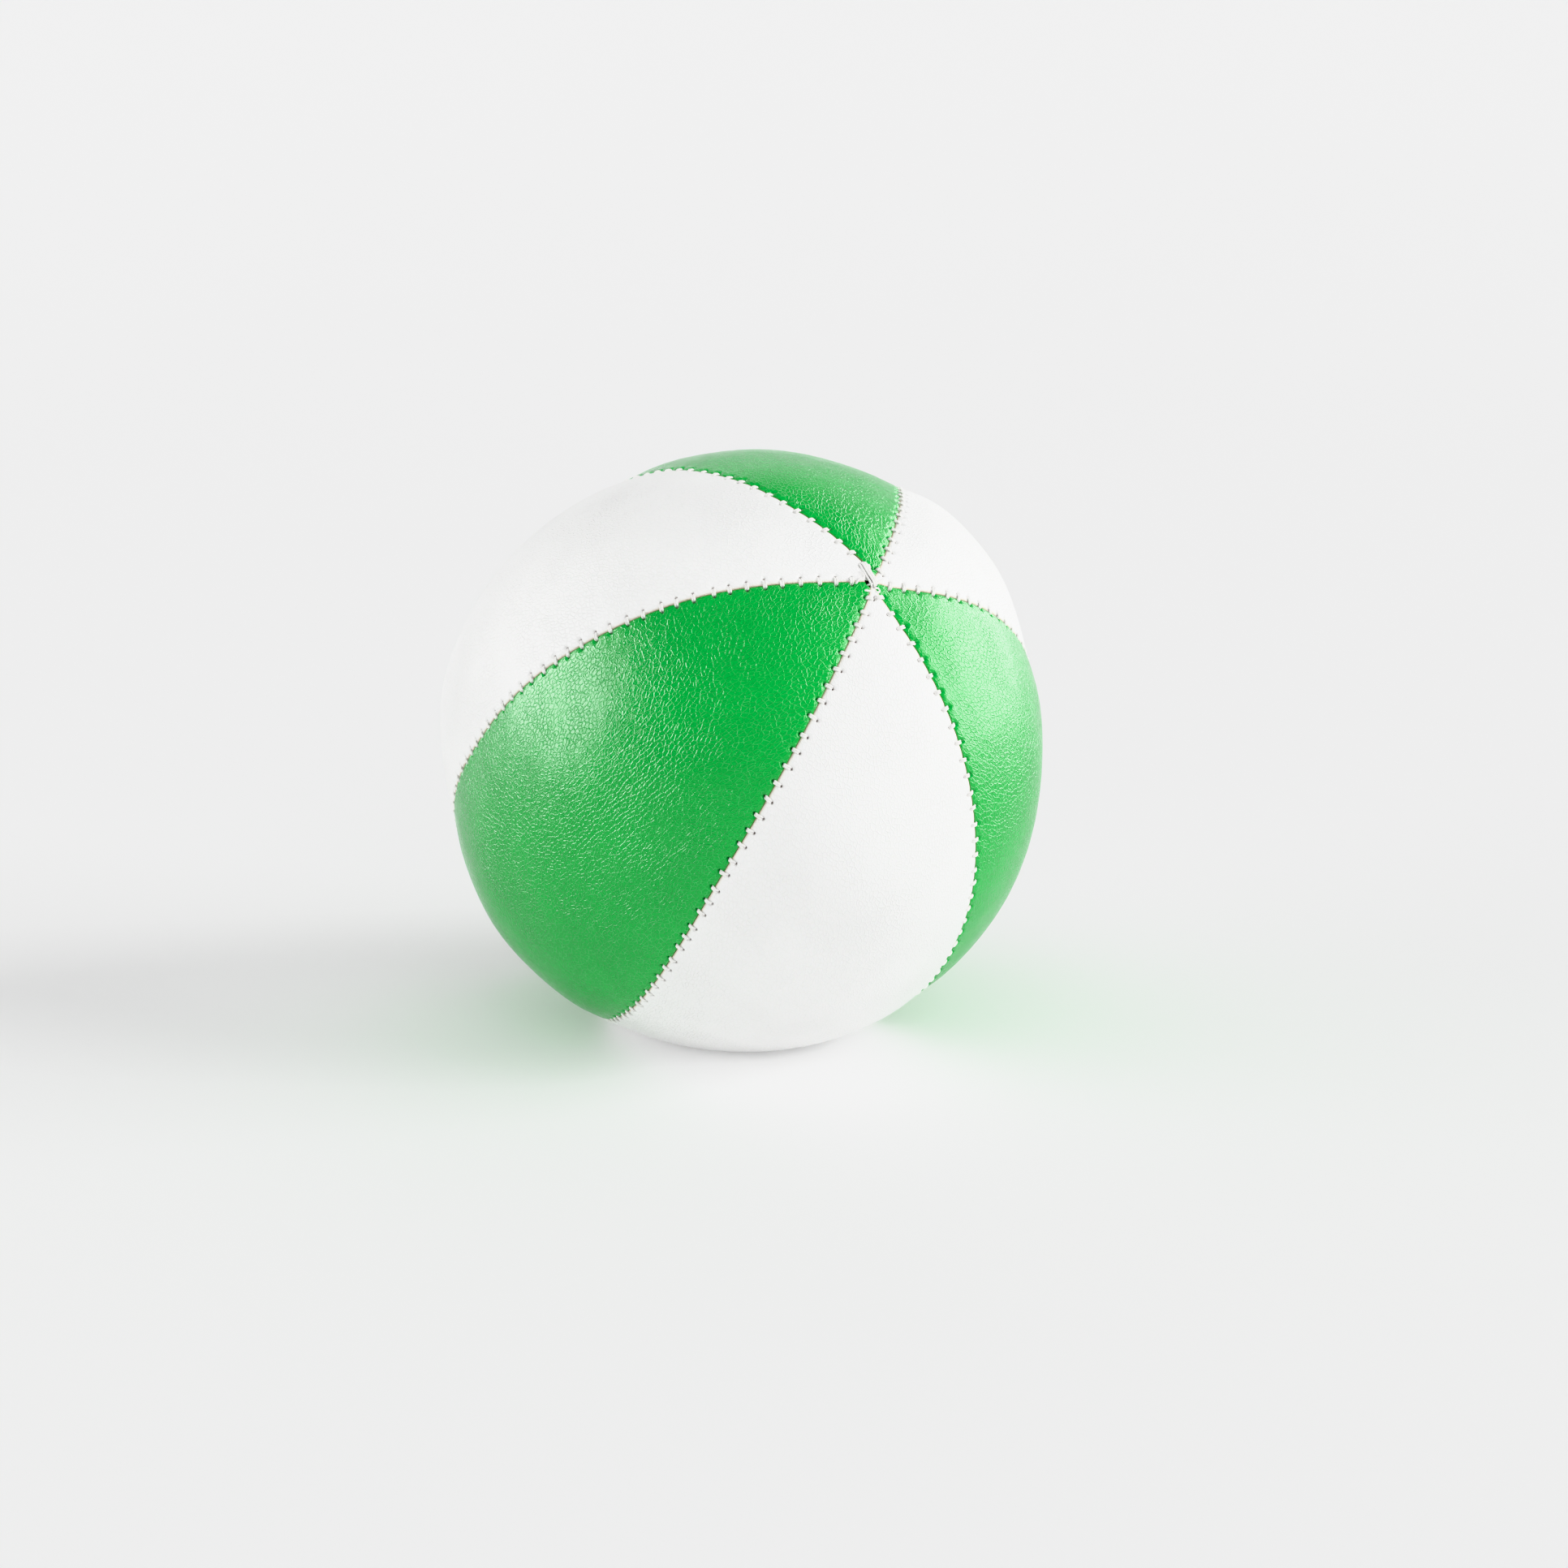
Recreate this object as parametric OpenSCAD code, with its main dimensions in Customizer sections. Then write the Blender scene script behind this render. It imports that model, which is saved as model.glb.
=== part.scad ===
/* [Ball] */
// Radius of the ball at the middle of a panel, half-way between the poles
crown_r = 34.8; // [34:0.1:35.3]
// Distance from the centre to each pole, where the six panels meet
pole_r = 35.8; // [35.5:0.1:37]

/* [Rest] */
// Height of the centre above the floor, once the fill has slumped flat
rest_h = 32.7; // [32:0.1:34]
// Tilt of the pole axis away from vertical
lean = 47.3; // [40:0.1:60]
// Compass heading of the raised pole
heading = -58.7; // [-90:0.1:90]
// Turn of the seams about the pole axis
spin = -100.7; // [-110:0.1:-90]

/* [Leatherette] */
// Thickness of the leatherette
sheet_t = 0.9; // [0.7:0.1:1.2]
// Width of the seam allowance folded back inside each panel edge
allowance_w = 3.0; // [2:0.1:4]

/* [Stitching] */
// Stitches along each seam, pole to pole
stitches = 56; // [40:1:80]
// Thickness of the thread
thread_t = 0.25; // [0.2:0.05:0.35]
// Width of the doubled thread where it crosses a seam
rung_w = 0.45; // [0.4:0.05:0.7]
// Distance from the seam to a needle hole
hole_reach = 0.5; // [0.5:0.05:0.9]

/* [Inside] */
// Gap between the folded allowances and the inner bag
bag_gap = 0.45; // [0.4:0.05:1]
// Thickness of the inner bag's cloth
bag_t = 0.4; // [0.2:0.05:0.8]
// Gap between the bag and the grain
fill_gap = 0.1; // [0.05:0.05:0.5]

/* [Hidden] */
GORES = 6;
GORE_ANGLE = 360 / GORES;
GREEN = [0.05, 0.66, 0.25];
WHITE = [0.95, 0.95, 0.94];
THREAD = [0.98, 0.98, 0.97];
MUSLIN = [0.90, 0.86, 0.76];
GRAIN = [0.86, 0.72, 0.42];
BIG = 2 * pole_r;
FINE = 128;
ROD_FN = 16;

// Every arc from pole to pole has its centre past the axis: the panel's by crown_shift
crown_shift = (pole_r * pole_r - crown_r * crown_r) / (2 * crown_r);
sphere_r = crown_r + crown_shift;
seam_shift = crown_shift * cos(GORE_ANGLE / 2);
seam_arc_r = sqrt(pole_r * pole_r + seam_shift * seam_shift);

run_depth = 2 * sheet_t + thread_t / 2;
// Angle at each end of a seam that is left to the pole tack
tack_angle = 3.5;
TACK_RODS = 4;
tack_length = 3.2;
bag_depth = 2 * sheet_t + bag_gap;
// Flat bands, pole to pole, that stand for the curve of the bag and the grain
CORE_STEPS = 32;
// The bag is cut and sewn along the plane through the middle of panels 1 and 4
bag_plane = GORE_ANGLE / 2;

// The ball's own frame, poles on Z and seam 1 on +X, set down as it rests on the floor
module resting(turn = 0) {
    translate([0, 0, rest_h])
        rotate([0, 0, heading]) rotate([0, lean, 0]) rotate([0, 0, spin + turn])
            children();
}

// Everything higher than z
module above(z) {
    translate([-BIG, -BIG, z]) cube([2 * BIG, 2 * BIG, 2 * BIG]);
}

// Wedge about the pole axis that one panel fills, its sides drawn in by inset
module wedge(inset = 0) {
    reach = BIG * tan(GORE_ANGLE / 2);
    translate([inset / sin(GORE_ANGLE / 2), 0, 0])
        linear_extrude(height = 2 * BIG, center = true)
            polygon([[0, 0], [BIG, -reach], [BIG, reach]]);
}

// Sphere behind one panel's face, drawn in by depth
module panel_sphere(depth) {
    translate([-crown_shift, 0, 0]) sphere(r = sphere_r - depth, $fn = FINE);
}

// One leatherette panel with its edges doubled by the folded seam allowance
module panel(place) {
    turn = (place - 0.5) * GORE_ANGLE;
    difference() {
        intersection() {
            resting(turn) intersection() {
                panel_sphere(0);
                wedge();
            }
            above(0);
        }
        intersection() {
            resting(turn) panel_sphere(2 * sheet_t);
            above(2 * sheet_t);
        }
        intersection() {
            resting(turn) intersection() {
                panel_sphere(sheet_t);
                wedge(allowance_w);
            }
            above(sheet_t);
        }
    }
}

// Green and white panels alternate round the ball
module green_panel(n) { color(GREEN) panel(2 * n - 1); }
module white_panel(n) { color(WHITE) panel(2 * n); }

// Half of a stitch: the rung over the panel's edge and the leg down its needle hole
module stitch() {
    outer = seam_arc_r + thread_t / 2;
    inner = seam_arc_r - run_depth;
    rotate([90, 0, 0])
        linear_extrude(height = rung_w, center = true)
            polygon([
                [outer, 0], [outer, hole_reach + thread_t],
                [inner, hole_reach + thread_t], [inner, hole_reach],
                [outer - thread_t, hole_reach], [outer - thread_t, 0]
            ]);
}

// One thread of a seam: a run along the inside that comes up at each stitch
module seam_thread(seam, side) {
    end_angle = acos(seam_shift / seam_arc_r) - tack_angle;
    step = 2 * end_angle / (stitches - 1);
    intersection() {
        resting((seam - 1) * GORE_ANGLE)
            mirror([0, side > 0 ? 0 : 1, 0]) translate([-seam_shift, 0, 0]) rotate([90, 0, 0]) {
                rotate([0, 0, -end_angle])
                    rotate_extrude(angle = 2 * end_angle, $fn = FINE)
                        translate([seam_arc_r - run_depth - thread_t / 2, hole_reach + thread_t / 4])
                            square([thread_t, thread_t]);
                for (i = [0:stitches - 1])
                    rotate([0, 0, -end_angle + i * step]) stitch();
            }
        above(0);
    }
}

module needle_thread(seam) { color(THREAD) seam_thread(seam, 1); }
module bobbin_thread(seam) { color(THREAD) seam_thread(seam, -1); }

// Thread ends crossed over the six panel tips at one pole
module pole_tack(end) {
    color(THREAD)
        resting()
            for (i = [0:TACK_RODS - 1])
                rotate([0, 0, (i + 0.5) * 180 / TACK_RODS])
                    translate([-tack_length / 2, 0, end * pole_r])
                        rotate([0, 90, 0])
                            cylinder(d = rung_w, h = tack_length, $fn = ROD_FN);
}

// Solid of the whole ball drawn in by depth on every side, its flat base too
module core_solid(depth) {
    arc_r = seam_arc_r - depth;
    pole_angle = acos(seam_shift / arc_r);
    intersection() {
        resting()
            rotate_extrude($fn = FINE)
                polygon([
                    for (i = [0:CORE_STEPS])
                        let (a = pole_angle * (2 * i / CORE_STEPS - 1))
                        [max(0, arc_r * cos(a) - seam_shift), arc_r * sin(a)]
                ]);
        above(depth);
    }
}

// Half of the cloth bag, on one side of the plane where it is sewn
module inner_bag_half(side) {
    color(MUSLIN)
        difference() {
            intersection() {
                core_solid(bag_depth);
                resting(bag_plane)
                    translate([-BIG, side > 0 ? 0 : -BIG, -BIG]) cube([2 * BIG, BIG, 2 * BIG]);
            }
            core_solid(bag_depth + bag_t);
        }
}

// Two threads that close the bag, each in the plane where its halves meet, pole to pole
module inner_bag_thread() {
    arc_r = seam_arc_r - bag_depth;
    half_angle = acos(seam_shift / arc_r) - tack_angle / 2;
    color(THREAD)
        resting(bag_plane)
            for (turn = [0, 180])
                rotate([0, 0, turn]) translate([-seam_shift, 0, 0]) rotate([90, 0, 0])
                    rotate([0, 0, -half_angle])
                        rotate_extrude(angle = 2 * half_angle, $fn = FINE)
                            translate([arc_r, 0]) circle(d = thread_t, $fn = ROD_FN);
}

// The grain, as one lump that has settled to the shape of its bag
module grain_fill() {
    color(GRAIN) core_solid(bag_depth + bag_t + fill_gap);
}

green_panel(1);  // green_panel_1
green_panel(2);  // green_panel_2
green_panel(3);  // green_panel_3
white_panel(1);  // white_panel_1
white_panel(2);  // white_panel_2
white_panel(3);  // white_panel_3
needle_thread(1);  // seam_1_needle_thread
needle_thread(2);  // seam_2_needle_thread
needle_thread(3);  // seam_3_needle_thread
needle_thread(4);  // seam_4_needle_thread
needle_thread(5);  // seam_5_needle_thread
needle_thread(6);  // seam_6_needle_thread
bobbin_thread(1);  // seam_1_bobbin_thread
bobbin_thread(2);  // seam_2_bobbin_thread
bobbin_thread(3);  // seam_3_bobbin_thread
bobbin_thread(4);  // seam_4_bobbin_thread
bobbin_thread(5);  // seam_5_bobbin_thread
bobbin_thread(6);  // seam_6_bobbin_thread
pole_tack(1);  // front_pole_tack
pole_tack(-1);  // back_pole_tack
inner_bag_half(1);  // inner_bag_half_1
inner_bag_half(-1);  // inner_bag_half_2
inner_bag_thread();
grain_fill();
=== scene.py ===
"""A hand-sized weighted ball: green and white leatherette panels sewn over a bag of grain."""
import math

import bmesh
import bpy
import numpy as np
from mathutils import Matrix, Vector


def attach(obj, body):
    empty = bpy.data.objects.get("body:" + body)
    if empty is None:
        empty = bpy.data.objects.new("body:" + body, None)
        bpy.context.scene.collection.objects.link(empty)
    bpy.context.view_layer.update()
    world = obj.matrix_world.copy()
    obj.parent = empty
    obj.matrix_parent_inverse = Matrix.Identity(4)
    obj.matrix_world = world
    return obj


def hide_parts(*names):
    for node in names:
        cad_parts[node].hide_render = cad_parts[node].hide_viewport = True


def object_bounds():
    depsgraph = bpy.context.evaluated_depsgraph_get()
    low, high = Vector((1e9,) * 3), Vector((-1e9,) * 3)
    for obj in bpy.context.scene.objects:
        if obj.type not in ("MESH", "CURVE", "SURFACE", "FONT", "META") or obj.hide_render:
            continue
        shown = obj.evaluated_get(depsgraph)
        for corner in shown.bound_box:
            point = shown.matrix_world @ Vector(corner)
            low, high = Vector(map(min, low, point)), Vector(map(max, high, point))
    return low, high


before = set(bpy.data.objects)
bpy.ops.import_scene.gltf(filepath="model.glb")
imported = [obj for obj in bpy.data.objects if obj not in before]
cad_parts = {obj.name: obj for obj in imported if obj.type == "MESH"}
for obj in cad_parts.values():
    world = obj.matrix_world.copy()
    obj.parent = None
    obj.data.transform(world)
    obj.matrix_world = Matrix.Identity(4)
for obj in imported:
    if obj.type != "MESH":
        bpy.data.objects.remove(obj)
cad_lo, cad_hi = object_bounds()

# ---------------------------------------------------------------- sizes, in mm
MM = 0.001
PANELS = 6
PANEL_ANGLE = 2 * math.pi / PANELS
WIDTH_SHARE = 1.0175  # half the ball's width over its mean radius
BALL_R = (cad_hi.x - cad_lo.x) / 2 / MM / WIDTH_SHARE
CENTRE_Z = 0.902 * BALL_R  # height of the centre once the grain has slumped
SHEET_T = 0.9  # thickness of the leatherette
ALLOWANCE_W, ALLOWANCE_SOFT = 3.0, 0.25  # width turned in at a seam, softness of its edge
SLOPE_STEP = 0.004  # radians between the points that give the skin's slope
POLE_SINE = 0.02  # nearer a pole than this, the step round it grows no further

# How the ball lies: its pole axis leans from +Z, on this heading, turned about itself
LEAN, HEADING, SPIN = (math.radians(a) for a in (47.3, -58.7, -100.7))

# Shape of the filled ball, as shares of its radius
POLE_RISE, POLE_ROUND = 0.105, -0.066  # how far the poles stand out, and how bluntly
SEAM_VALLEY = 0.011  # half the height of a panel's crown over its seams
WHITE_BULGE = 0.028  # white panels stand out this much, and green ones lie as far in
SQUASH = (1.003, 0.979, 1.018)
SAG_START, SAG = 0.573, 0.079  # below this the grain's weight flattens the ball
FLOOR_BLEND = 0.01  # how softly the skin turns into its flat

# Low lumps of grain under the skin: degrees round the outline seen from the front and
# a little above, height in mm, spread in degrees
LUMPS = [(23, -0.7, 11), (52, 0.65, 9), (103, 0.45, 8), (126, -0.4, 9), (168, 0.3, 10),
         (222, -0.4, 8), (243, 0.35, 9), (281, -0.25, 10), (330, 0.25, 12), (356, -0.35, 9)]
OUTLINE_UP = 0.22, 0.975  # upwards along that outline, in y and z
WAVE_COUNT, WAVE_RATE, WAVE_H = 14, 5.5, 0.035  # smaller unevenness everywhere

# Stitching
STITCHES = 56
FIRST_STITCH = math.radians(3.5)
STITCH_STEP = (math.pi - 2 * FIRST_STITCH) / (STITCHES - 1)
PITCH = STITCH_STEP * BALL_R
HOLE_REACH = 0.45, 0.21  # from the seam to a needle hole, in white and in green
THREAD_R = 0.125
STRAND_GAP = 0.115  # half the distance between the two strands of a stitch
SLANT = 0.08  # how far a stitch runs forward, as a share of its reach
SLIP_SPREAD, REACH_SPREAD, SLANT_SPREAD = 0.045, 0.04, 0.09  # unevenness of the sewing
PULL_RANGE = 0.75, 1.15  # how tightly a stitch pulls, least and most
# How far each sewn seam strays from its meridian, in mm, at these angles from the raised pole
DRIFT_AT = (3, 15, 30, 60, 90, 150)
DRIFT_WINDOW = (-6, -3, 0, 3, 6)  # degrees either way over which it is averaged
SEAM_DRIFT = ((0.0, 0.0, -0.2, 0.2, 0.5, 0.0), (0.4, 0.2, 0.0, -0.45, -0.1, 0.2),
              (-0.3, -0.1, 0.0, 0.25, 0.2, 0.0), (-0.45, -0.1, 0.6, 0.9, 0.6, 0.0),
              (-0.3, -0.5, -0.7, -0.9, -0.6, 0.0), (-1.3, -0.5, 0.4, 0.5, 0.2, 0.0))

rng = np.random.default_rng(20)


# ---------------------------------------------------------------- the ball's skin
def turn_z(a):
    c, s = math.cos(a), math.sin(a)
    return np.array([[c, -s, 0], [s, c, 0], [0, 0, 1]])


def turn_y(a):
    c, s = math.cos(a), math.sin(a)
    return np.array([[c, 0, s], [0, 1, 0], [-s, 0, c]])


TO_WORLD = turn_z(HEADING) @ turn_y(LEAN) @ turn_z(SPIN)
WAVES = [(rng.normal(size=3) * WAVE_RATE, rng.uniform(0, 2 * math.pi))
         for _ in range(WAVE_COUNT)]


def unevenness(d):
    """Soft unevenness of the grain under the skin, in mm, in direction d."""
    out = sum(np.cos(d @ k + phase) for k, phase in WAVES) * WAVE_H
    for angle, height, spread in LUMPS:
        a = math.radians(angle)
        at = np.array([math.cos(a), *(up * math.sin(a) for up in OUTLINE_UP)])
        away = np.arccos(np.clip(d @ at, -1, 1))
        out = out + height * np.exp(-(away / math.radians(spread)) ** 2)
    return out


def skin(theta, phi):
    """Points of the smooth skin, in mm, at polar angle theta and longitude phi."""
    c, s = np.cos(theta), np.sin(theta)
    r = 1 + POLE_RISE * c ** 2 + POLE_ROUND * c ** 4
    crown = SEAM_VALLEY * np.cos(PANELS * phi) + WHITE_BULGE * np.sin(PANELS // 2 * phi)
    r = r * (1 - crown * s ** 2)
    d = np.stack([s * np.cos(phi), s * np.sin(phi), c], -1) @ TO_WORLD.T
    p = d * r[..., None] * SQUASH
    p = p + d * (unevenness(d) / BALL_R)[..., None]
    z = p[..., 2]
    sag = SAG * (np.maximum(-SAG_START - z, 0) / (1 - SAG_START)) ** 2
    height = z + sag + CENTRE_Z / BALL_R
    blend = np.clip(0.5 + 0.5 * height / FLOOR_BLEND, 0, 1)
    z = height * blend + FLOOR_BLEND * blend * (1 - blend)
    return np.stack([p[..., 0], p[..., 1], z], -1) * BALL_R


def unit(v):
    return v / np.maximum(np.linalg.norm(v, axis=-1, keepdims=True), 1e-12)


def skin_frame(theta, phi):
    """Points of the skin with their outward normals and tangents along and across."""
    p = skin(theta, phi)
    along = skin(theta + SLOPE_STEP, phi) - skin(theta - SLOPE_STEP, phi)
    wide = SLOPE_STEP / np.maximum(np.sin(theta), POLE_SINE)
    across = skin(theta, phi + wide) - skin(theta, phi - wide)
    out = unit(np.cross(along, across))
    along = unit(along)
    return p, out, along, np.cross(out, along)


# ---------------------------------------------------------------- stitches
class Seam:
    """Where each stitch of a seam lies, with the small unevenness of real sewing."""

    def __init__(self, index):
        self.meridian = index * PANEL_ANGLE
        self.drift = SEAM_DRIFT[index]
        self.slip = rng.normal(0, SLIP_SPREAD, STITCHES)
        green_side = index % 2  # 0 where the green panel lies past the seam, 1 before it
        self.reach = rng.normal(0, REACH_SPREAD, (2, STITCHES))
        self.reach += np.array([[HOLE_REACH[green_side]], [HOLE_REACH[1 - green_side]]])
        self.slant = SLANT + rng.normal(0, SLANT_SPREAD, STITCHES)
        self.pull = rng.uniform(*PULL_RANGE, STITCHES)

    def theta(self, i):
        return FIRST_STITCH + (i + self.slip[i]) * STITCH_STEP

    def phi(self, theta):
        """The seam's own longitude at each theta."""
        at, window = np.radians(DRIFT_AT), np.radians(DRIFT_WINDOW)
        drift = sum(np.interp(theta + d, at, self.drift) for d in window) / len(window)
        fade = np.clip(np.sin(theta) / math.sin(FIRST_STITCH), 0, 1)
        return self.meridian + drift * fade / (BALL_R * np.sin(theta))

    def near(self, t):
        """The nearest stitch to each t, counted in stitches, and how far past it t is."""
        i = np.clip(np.rint(t), 0, STITCHES - 1).astype(int)
        return i, t - i - self.slip[i]


SEAMS = [Seam(i) for i in range(PANELS)]

# Relief along a seam, in mm: widths (W) and depths (D)
ROLL_W, ROLL_D = 1.3, 0.24  # the rolled edge of a panel
VALLEY_W, VALLEY_D = 2.6, 0.24  # the broad dip in which the seam lies
DIMPLE_W, DIMPLE_D = 0.5, 0.07  # where a stitch pulls the edge down
PINCH_LONG = 0.23  # length of that dimple along the seam, in stitches
PUFF, PUFF_AT, PUFF_W = 0.04, 0.55, 0.5  # the edge stands up between stitches
GAP_OPEN, GAP_SHUT, GAP_LONG = 0.01, 0.004, 0.27  # half the gap between panels, and at a stitch
HOLE_W, HOLE_LONG, HOLE_D = 0.16, 0.17, 0.6
HOLE_AT = 0.15  # a hole's middle, beyond the thread that draws it out of round
WALL_DEPTHS = (1.05, 1.5)  # two rows of points down the folded edge
FULL_RELIEF = 2.5  # a panel narrower than twice this has shallower relief
CREASE_W = 0.07, 0.15  # how far the seam colour, the folded edge's own colour with painted shade, reaches on to a green and a white panel
STRAIN_W = 1.6  # how far the leather is drawn smooth beside a seam


def edge_shape(seam, side, t, s, half_w):
    """How far a panel's surface lies under the skin, s from a seam, and its needle holes."""
    i, past = seam.near(t)
    pinch = np.exp(-(past / PINCH_LONG) ** 2) * seam.pull[i]
    roll_w = np.minimum(ROLL_W, 0.8 * half_w)
    inside = np.clip(1 - s / roll_w, 0, 1)
    small = np.clip(half_w / FULL_RELIEF, 0.25, 1)
    roll = ROLL_D * small * (1 - np.sqrt(1 - inside ** 2))
    valley = VALLEY_D * np.exp(-(s / VALLEY_W) ** 2)
    dimple = DIMPLE_D * pinch * np.exp(-(s / DIMPLE_W) ** 2)
    puff = PUFF * (1 - pinch) * np.exp(-((s - PUFF_AT) / PUFF_W) ** 2)
    reach = seam.reach[(side + 1) // 2][i]
    off = past * PITCH - side * seam.slant[i] * reach
    hole = np.exp(-(off / HOLE_W) ** 2 - ((s - reach - HOLE_AT) / HOLE_LONG) ** 2)
    return roll + (valley + dimple - puff) * small, hole


def seam_gap(seam, t):
    """Half the gap between two panels, at t stitches along their seam."""
    _, past = seam.near(t)
    pinch = np.exp(-(past / GAP_LONG) ** 2)
    return GAP_OPEN + (GAP_SHUT - GAP_OPEN) * pinch


# ---------------------------------------------------------------- meshes
def new_mesh(name, points, faces):
    """A smooth-shaded object from points in mm."""
    mesh = bpy.data.meshes.new(name)
    mesh.from_pydata((points * MM).tolist(), [], faces)
    mesh.update()
    mesh.shade_smooth()
    obj = bpy.data.objects.new(name, mesh)
    bpy.context.scene.collection.objects.link(obj)
    return obj


def paint(obj, name, values):
    """Stores one number for each vertex, for the materials to read."""
    layer = obj.data.attributes.new(name, "FLOAT", "POINT")
    layer.data.foreach_set("value", np.ascontiguousarray(values, dtype=np.float32).ravel())


def paint_vector(obj, name, values):
    layer = obj.data.attributes.new(name, "FLOAT_VECTOR", "POINT")
    layer.data.foreach_set("vector", np.ascontiguousarray(values, dtype=np.float32).ravel())


def grid_faces(rows, cols, start=0, flip=False):
    """Quads between the points of a grid whose first point is number start."""
    r = np.arange(rows - 1)[:, None] * cols
    c = np.arange(cols - 1)[None, :]
    a = (r + c + start).ravel()
    quads = np.stack([a, a + 1, a + cols + 1, a + cols], 1)
    return (quads[:, ::-1] if flip else quads).tolist()


ROWS_PER_STITCH = 14
EDGE_COLUMNS = np.array([0, 0.09, 0.18, 0.28, 0.39, 0.51, 0.64, 0.78, 0.94, 1.15, 1.45, 1.85])
MIDDLE_COLUMNS = 9
TIP = 0.72  # stitches from the first stitch to the panel's tip
NARROW = 4.0  # where half a panel is narrower, its edge columns close up, in mm
PATTERN_SHIFT = 40.0  # mm from one panel's place in the leather's pattern to the next


def panel_columns(half_w):
    """Distances of the columns from a seam, from the edge to the panel's middle."""
    edge = EDGE_COLUMNS * np.minimum(1, half_w / NARROW)
    share = np.linspace(0, 1, MIDDLE_COLUMNS + 1)[1:]
    last = edge[:, -1:]
    return np.concatenate([edge, last + (half_w - last) * share], 1)


def panel_faces(rows, wide, narrow):
    """Faces of a panel's outer grid, its inner one and the rim that joins them."""
    first = rows * wide
    faces = grid_faces(rows, wide) + grid_faces(rows, narrow, first, flip=True)
    o, n = np.arange(rows) * wide, first + np.arange(rows) * narrow
    for r in range(rows - 1):
        faces.append([o[r + 1], n[r + 1], n[r], o[r]])
        faces.append([o[r] + wide - 1, n[r] + narrow - 1,
                      n[r + 1] + narrow - 1, o[r + 1] + wide - 1])
    for r, flip in ((0, False), (rows - 1, True)):
        ring = [[o[r], n[r], o[r] + 2, o[r] + 1],
                [o[r] + wide - 1, o[r] + wide - 2, o[r] + wide - 3, n[r] + narrow - 1]]
        for c in range(narrow - 1):
            ring.append([n[r] + c, n[r] + c + 1, o[r] + c + 3, o[r] + c + 2])
        faces += [f[::-1] if flip else f for f in ring]
    return faces


def walled(face, wall):
    """A value for each point of a panel's face, and one more for the walls beside it."""
    walls = np.full((len(face), len(WALL_DEPTHS)), float(wall))
    return np.concatenate([walls, face, walls], 1).ravel()


def make_panel(name, index):
    """One leatherette panel: face, rolled edges, folded allowances and inside."""
    left, right = SEAMS[index], SEAMS[(index + 1) % PANELS]
    rows = int((STITCHES - 1 + 2 * TIP) * ROWS_PER_STITCH) + 1
    t = np.linspace(-TIP, STITCHES - 1 + TIP, rows)[:, None]
    theta = FIRST_STITCH + t * STITCH_STEP
    across_r = BALL_R * np.sin(theta)
    start = left.phi(theta)
    angle = (right.phi(theta) - start) % (2 * math.pi)
    half_w = across_r * np.sin(angle / 2)
    s = panel_columns(half_w)
    near = [s + seam_gap(q, t) * np.clip(1 - s / half_w, 0, 1) for q in (left, right)]
    off = [np.arcsin(np.clip(n / across_r, 0, np.sin(angle / 2))) for n in near]
    off = np.concatenate([off[0], angle - off[1][:, -2::-1]], 1)
    phi = start + off
    theta_all, t_all, half_all = (np.broadcast_to(v, phi.shape) for v in (theta, t, half_w))
    s_left = across_r * np.sin(off)
    s_right = across_r * np.sin(angle - off)
    s_edge = np.minimum(s_left, s_right)

    p, out, _, _ = skin_frame(theta_all, phi)
    d_left, hole_left = edge_shape(left, 1, t_all, s_left, half_all)
    d_right, hole_right = edge_shape(right, -1, t_all, s_right, half_all)
    hole = np.clip(hole_left + hole_right, 0, 1)
    depth = d_left + d_right + HOLE_D * hole
    face = p - out * depth[..., None]
    small = np.clip(half_w / FULL_RELIEF, 0.3, 1)
    walls = [p[:, [0, -1]] - out[:, [0, -1]] * (w * small)[..., None] for w in WALL_DEPTHS]
    outer = np.concatenate([walls[1][:, :1], walls[0][:, :1], face,
                            walls[0][:, 1:], walls[1][:, 1:]], 1)
    folded = 1 / (1 + np.exp((s_edge - ALLOWANCE_W) / ALLOWANCE_SOFT))
    valley = VALLEY_D * np.exp(-(s_edge / VALLEY_W) ** 2)
    thick = SHEET_T * (1 + folded) + valley
    inner = p - out * (thick * small)[..., None]
    for part in (outer, inner):
        part[..., 2] = np.maximum(part[..., 2], 0)
    obj = new_mesh(name, np.concatenate([outer.reshape(-1, 3), inner.reshape(-1, 3)]),
                   panel_faces(rows, outer.shape[1], inner.shape[1]))

    # Mask of the seam colour: the folded edge's own colour with painted shade, full on the edge
    # walls inside the gap.
    seam_edge_and_shade = np.exp(-(np.maximum(s_edge, 0) / CREASE_W[index % 2]) ** 2)
    strain = np.exp(-(s_edge / STRAIN_W) ** 2)
    back = np.zeros(s_edge.size)
    # The hole mask also paints shade into the needle holes in the materials.
    for layer, values, wall in (("seam_edge_and_shade", seam_edge_and_shade, 1), ("hole", hole, 0), ("strain", strain, 1)):
        paint(obj, layer, np.concatenate([walled(values, wall), back]))
    flat = np.stack([across_r * (off - angle / 2), BALL_R * theta_all,
                     np.full(phi.shape, PATTERN_SHIFT * index)], -1)
    around = np.concatenate([flat[:, [0, 0]], flat, flat[:, [-1, -1]]], 1)
    paint_vector(obj, "flat", np.concatenate([around.reshape(-1, 3), flat.reshape(-1, 3)]))
    paint(obj, "inside", np.concatenate([walled(np.zeros(s_edge.shape), 0), back + 1]))
    return obj


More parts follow.
